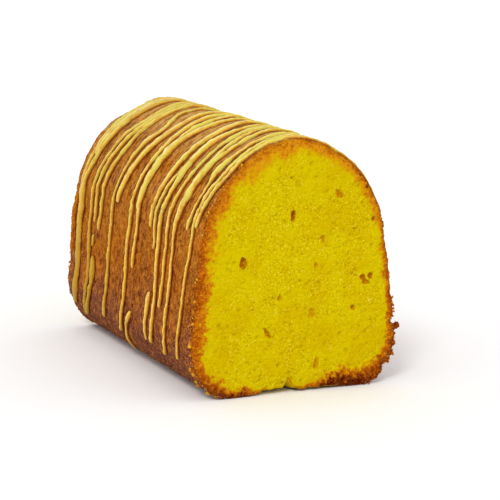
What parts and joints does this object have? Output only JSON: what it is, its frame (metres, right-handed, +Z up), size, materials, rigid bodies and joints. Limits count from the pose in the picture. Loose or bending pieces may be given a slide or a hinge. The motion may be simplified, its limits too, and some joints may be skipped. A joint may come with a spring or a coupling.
{
  "type": "sea buckthorn cake",
  "caption": "Arched loaf cake cut square at both ends, bright yellow crumb inside a caramel crust, with threads of yellow icing poured across it.",
  "frame": {"origin": "on the ground under the middle of the loaf", "axes": "+Z up, +Y along the loaf from the shown cut face to the far one, +X across it"},
  "size_m": [0.0821, 0.135, 0.0935],
  "materials": {
    "crust": "baked, slightly tacky crust",
    "crumb": "matte, fine open crumb",
    "icing": "satin set icing"
  },
  "bodies": {
    "root": {"cake": "crust"}
  },
  "joints": []
}
